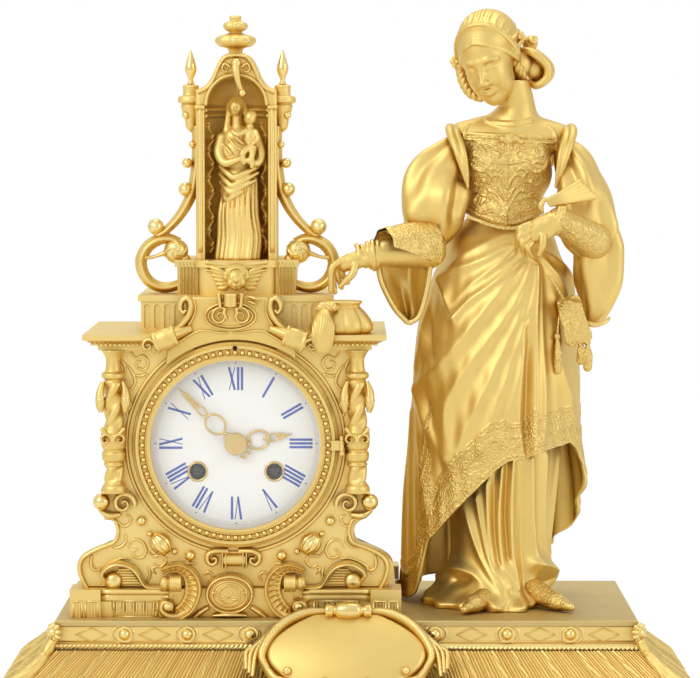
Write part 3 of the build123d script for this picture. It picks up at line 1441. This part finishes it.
def make_minute_wheel():
    wheel = toothed(minute_wheel_teeth, cannon_module, wheel_tooth_shares,
                    direction(minute_place, centre_place) + 180 / minute_wheel_teeth)
    leaves = pinion_sketch(minute_pinion_teeth, hour_module, gap_turn(centre_place, minute_place,
                                                                      minute_pinion_teeth))
    pinion_front = hour_wheel_y - motion_wheel_gap / 2
    return placed(wheel, minute_place, cannon_wheel_y, wheel_thickness) \
        + placed(leaves, minute_place, pinion_front, cannon_wheel_y - pinion_front) \
        - arbor(minute_place, hour_wheel_y - cut_overrun, movement_y, arbor_radius + running_clearance)


def make_hour_wheel():
    wheel = wheel_sketch(hour_wheel_teeth, hour_module, direction(centre_place, minute_place))
    return placed(wheel, centre_place, hour_wheel_y, wheel_thickness) \
        + arbor(centre_place, hour_hand_y, hour_wheel_y, hour_pipe_radius) \
        - arbor(centre_place, hour_hand_y - cut_overrun, hour_wheel_y + cut_overrun, hour_pipe_bore)


# Dial, bezel and hands

def make_dial():
    back = dial_front_y + dial_thickness
    dial = dial_disc(dial_radius, 0, 0, dial_front_y, back)
    for turn in dial_foot_turns:
        dial += arbor(step_from(centre_place, dial_foot_circle, turn), back, front_plate_y,
                      dial_foot_radius)
    dial -= arbor(centre_place, dial_front_y - cut_overrun, back + cut_overrun, dial_hole_radius)
    for place in (going_place, strike_place):
        dial -= arbor(place, dial_front_y - cut_overrun, back + cut_overrun, winding_hole_radius)
    return dial


bezel_back_y = case_front_y - moving_gap
glass_seat_radius = sight_radius + bezel_lip


def make_bezel():
    step = (bezel_radius - glass_seat_radius) / 4
    rebate = bezel_thickness / 2
    points = ((glass_seat_radius, 0), (bezel_radius, 0), (bezel_radius, rebate), (bezel_radius - step,
                                                                                  bezel_thickness),
              (bezel_radius - 1.5 * step, bezel_thickness), (bezel_radius - 2 * step,
                                                             bezel_thickness * 0.7),
              (glass_seat_radius + step, bezel_thickness * 0.7), (glass_seat_radius, bezel_thickness),
              (sight_radius, bezel_thickness), (sight_radius, rebate), (glass_seat_radius, rebate))
    ring = turned_forward(points, case_x, dial_z, bezel_back_y)
    arm_half = bezel_knuckle_height / 2 - moving_gap
    arm = block((case_x + bezel_radius - 2 * step, bezel_hinge_x), (bezel_hinge_y, bezel_back_y - rebate),
                (dial_z - arm_half, dial_z + arm_half))
    ring += arm - Pos(bezel_hinge_x, bezel_hinge_y, dial_z) * Cylinder(bezel_knuckle_radius,
                                                                       bezel_knuckle_height)
    return ring + hinge_knuckle(bezel_hinge_x, bezel_hinge_y, bezel_pin_radius, bezel_knuckle_radius,
                                bezel_knuckle_height)


def dome_arc(half_width, rise, seat):
    """Arc from the dial axis down to a seat, centred on the axis."""
    radius = (half_width ** 2 + rise ** 2) / (2 * rise)
    middle = seat + rise - radius + sqrt(radius ** 2 - half_width ** 2 / 4)
    return ThreePointArc((0, seat + rise), (half_width / 2, middle), (half_width, seat))


def make_bezel_glass():
    seat = bezel_thickness / 2
    radius = glass_seat_radius - running_clearance
    outside = dome_arc(sight_radius - running_clearance, glass_dome, seat)
    inside = dome_arc(sight_radius - glass_thickness, glass_dome, seat - glass_thickness)
    edge = Polyline(outside @ 1, (radius, seat), (radius, seat - glass_thickness), inside @ 1)
    face = make_face(outside + edge + inside + Line(inside @ 0, outside @ 0))
    return Pos(case_x, bezel_back_y, dial_z) * Rot(90, 0, 0) * revolve(Plane.XZ * face, Axis.Z)


def hand_sketch(length, hub_radius, bore):
    """Pierced hand that points up: hub, ring, small ring and spear."""
    ring_radius = 0.14 * minute_hand_length
    width = 0.05 * minute_hand_length
    ring_z = hub_radius + ring_radius * 0.8
    eye_z = 0.62 * length
    eye_radius = 0.65 * ring_radius
    spear = make_face(Polyline((-width / 2, hub_radius * 0.8), (-width / 2, 0.7 * length),
                               (-width, 0.78 * length), (0, length),
                               (width, 0.78 * length), (width / 2, 0.7 * length), (width / 2,
                                       hub_radius * 0.8), close=True))
    hand = Circle(hub_radius) + spear
    for z, radius in ((ring_z, ring_radius), (eye_z, eye_radius)):
        hand += Pos(0, z) * Circle(radius)
        hand -= Pos(0, z) * Circle(radius - 0.6 * width)
    return hand - Circle(bore)


def make_hand(length, angle, hub_radius, bore, y_front):
    sketch = Rot(0, 0, -angle) * hand_sketch(length, hub_radius, bore)
    return placed(sketch, centre_place, y_front, hand_thickness)


def make_hand_collet():
    return arbor(centre_place, minute_hand_y - collet_height, minute_hand_y, collet_radius)


# Escapement, pendulum and strike

def make_anchor():
    x, z = anchor_place
    left = [(-anchor_span, z - anchor_drop), (-anchor_span * 0.8, z - anchor_drop * 0.4),
            (x, z + anchor_width)]
    right = [(-px, pz) for px, pz in left[-2::-1]]
    pallets = trace(Polyline(*left, *right), anchor_width) + Pos(x, z) * Circle(2 * arbor_radius)
    crutch_y = rear_y + crutch_start
    crutch = Pos(0, z - crutch_length / 2) * Rectangle(crutch_width, crutch_length) + Pos(x,
            z) * Circle(2 * arbor_radius)
    piece = arbor(anchor_place, front_plate_y, crutch_y + crutch_thickness)
    piece += placed(pallets, centre_place, escape_wheel_y, wheel_thickness)
    piece += placed(crutch, centre_place, crutch_y, crutch_thickness)
    slot = pendulum_rod_radius + moving_gap
    fork_end = pendulum_y + 2 * pendulum_rod_radius
    foot_z = z - crutch_length
    bridge = Pos(0, foot_z) * Rectangle(2 * slot + 2 * crutch_thickness, 2 * crutch_thickness)
    piece += placed(bridge, centre_place, crutch_y, crutch_thickness)
    prong = Pos(0, foot_z) * (Rectangle(2 * slot + 2 * crutch_thickness,
                                        crutch_width) - Rectangle(2 * slot, 2 * crutch_width))
    return piece + placed(prong, centre_place, crutch_y, fork_end - crutch_y)


def make_pendulum():
    top = anchor_place[1]
    bob_z = top - pendulum_length
    rod_top = top - suspension_length
    rod = Pos(case_x, pendulum_y, dial_z + (rod_top + bob_z) / 2) * Cylinder(pendulum_rod_radius,
                                                                             rod_top - bob_z)
    strip_half = suspension_width / 2
    spring = block((case_x - suspension_thickness / 2, case_x + suspension_thickness / 2),
                   (pendulum_y - strip_half, pendulum_y + strip_half),
                   (dial_z + rod_top - strip_half, dial_z + top + suspension_length))
    lens = ((0, -bob_half_thickness), (bob_radius * 0.6, -bob_half_thickness * 0.75), (bob_radius, 0),
            (bob_radius * 0.6, bob_half_thickness * 0.75), (0, bob_half_thickness))
    return rod + spring + turned_forward(lens, case_x, dial_z + bob_z, pendulum_y)


def make_suspension_cock():
    bottom = anchor_place[1] + suspension_length + running_clearance
    return block((case_x - cock_half_width, case_x + cock_half_width),
                 (rear_y, pendulum_y + suspension_width),
                 (dial_z + bottom, dial_z + bottom + cock_height))


def make_bell():
    inner = bell_radius - bell_thickness
    points = ((bell_radius, -bell_depth), (bell_radius * 0.96, -bell_depth * 0.55), (bell_radius * 0.7,
                                                                                     -bell_thickness * 1.5),
              (2 * bell_post_radius, 0),
              (bell_post_radius + running_clearance, 0), (bell_post_radius + running_clearance,
                                                          -bell_thickness),
              (2 * bell_post_radius, -bell_thickness),
              (inner * 0.68, -bell_thickness * 2.6), (inner * 0.95, -bell_depth * 0.6), (inner,
                                                                                         -bell_depth))
    crown_y = rear_y + bell_start + bell_depth
    shell = revolve(Plane.XZ * make_face(Polyline(*points, close=True)), Axis.Z)
    return Pos(case_x + bell_offset_x, crown_y, dial_z + bell_offset_z) * Rot(-90, 0, 0) * shell


def make_bell_standard():
    crown_y = rear_y + bell_start + bell_depth
    shoulder_y = crown_y - bell_thickness
    post = arbor(bell_place, rear_y, crown_y + bell_nut_height, bell_post_radius)
    return post + arbor(bell_place, rear_y, shoulder_y, bell_post_radius * 1.6) \
        + arbor(bell_place, crown_y, crown_y + bell_nut_height, bell_nut_radius)


def make_hammer():
    reach = bell_radius + hammer_gap + hammer_head_radius
    head_place = step_from(bell_place, reach, hammer_head_direction)
    start = rear_y + hammer_start
    stem = trace(Line(hammer_place, head_place), hammer_stem_width)
    return arbor(hammer_place, front_plate_y, start + hammer_height) + placed(stem, centre_place, start,
                                                                              hammer_height) \
        + arbor(head_place, start - hammer_height / 2, start + 1.5 * hammer_height, hammer_head_radius)


# All pieces, each cut to those that carry it

fringe_skirt = make_fringe_skirt()
frieze_band = make_frieze_band()
top_plate = make_top_plate()
base_plinth = make_base_plinth()
base_core = extrude(base_rect(-top_plate_overhang, fringe_top_z), frieze_top_z - fringe_top_z)
base_carriers = [fringe_form(0), frieze_band, base_core, top_plate, base_plinth]
foot_plinth = make_case_foot_plinth()
case_front = make_case_front()
cornice = make_cornice()
attic = make_attic_block()
medallion = make_medallion([foot_plinth, case_front])
niche_plinth = make_niche_plinth()
niche_shell = make_niche_shell()
dress = make_figure_dress()
bodice = make_figure_bodice(dress)
head = make_figure_head(bodice)
right_arm = make_figure_arm(right_sleeve_shares, [right_forearm_shares], right_drape_shares,
                            [bodice, dress])
left_arm = make_figure_arm(left_sleeve_shares, [left_forearm_shares, left_cuff_shares],
                           left_drape_shares, [bodice, dress])

nodes = {
    "base_feet": make_base_feet(),
    "base_plinth": base_plinth,
    "fringe_skirt": fringe_skirt,
    "frieze_band": frieze_band,
    "top_plate": top_plate,
    "fixing_bolts": make_fixing_bolts() + make_movement_screws(),
    "frieze_studs": make_frieze_studs(frieze_band),
    "corner_rosettes": make_corner_rosettes(base_carriers),
    "front_cartouche": make_front_cartouche(base_carriers),
    "case_foot_plinth": foot_plinth,
    "case_front": case_front,
    "case_shell": make_case_shell(),
    "columns": make_columns(),
    "cornice": cornice,
    "attic_block": attic,
    "pediment": make_pediment([attic, cornice, case_front]),
    "foot_scrolls": make_foot_scrolls([foot_plinth, case_front, medallion]),
    "medallion": medallion,
    "niche_plinth": niche_plinth,
    "niche_shell": niche_shell,
    "spire_finials": make_spire_finials(),
    "top_finial": make_top_finial(),
    "buttresses": make_buttresses([niche_shell, niche_plinth, attic]),
    "statuette": make_statuette(),
    "cherub_head": make_cherub_head([niche_plinth, attic]),
    "vessel": make_vessel([cornice, attic]),
    "figure_dress": dress,
    "figure_bodice": bodice,
    "figure_head": head,
    "figure_right_arm": right_arm,
    "figure_left_arm": left_arm,
    "figure_purse": make_figure_purse([dress, left_arm]),
    "dial": make_dial(),
    "bezel": make_bezel(),
    "bezel_glass": make_bezel_glass(),
    "hour_hand": make_hand(hour_hand_length, hour_hand_angle, collet_radius, hour_pipe_radius, hour_hand_y),
    "minute_hand": make_hand(minute_hand_length, minute_hand_angle, collet_radius, cannon_pipe_radius,
                             minute_hand_y),
    "hand_collet": make_hand_collet(),
    "front_plate": make_front_plate(),
    "back_plate": make_back_plate(),
    "plate_pillars": make_plate_pillars(),
    "going_barrel": make_barrel(going_place, intermediate_place),
    "strike_barrel": make_barrel(strike_place, strike_second_place),
    "going_winding_arbor": make_winding_arbor(going_place),
    "strike_winding_arbor": make_winding_arbor(strike_place),
    "intermediate_wheel": make_intermediate_wheel(),
    "centre_wheel": make_centre_wheel(),
    "third_wheel": make_third_wheel(),
    "escape_wheel": make_escape_wheel(),
    "strike_second_wheel": make_strike_second_wheel(),
    "cannon_wheel": make_cannon_wheel(),
    "minute_wheel": make_minute_wheel(),
    "hour_wheel": make_hour_wheel(),
    "anchor": make_anchor(),
    "pendulum": make_pendulum(),
    "suspension_cock": make_suspension_cock(),
    "bell": make_bell(),
    "bell_standard": make_bell_standard(),
    "hammer": make_hammer(),
    "rear_door": make_rear_door(),
}

os.makedirs("parts", exist_ok=True)
for name, shape in nodes.items():
    solids = shape if isinstance(shape, list) else shape.solids()
    solids = [solid for piece in solids for solid in piece.solids()]
    export_step(Compound(children=solids) if len(solids) > 1 else solids[0], f"parts/{name}.step")
    print(name, len(solids), round(sum(solid.volume for solid in solids)))
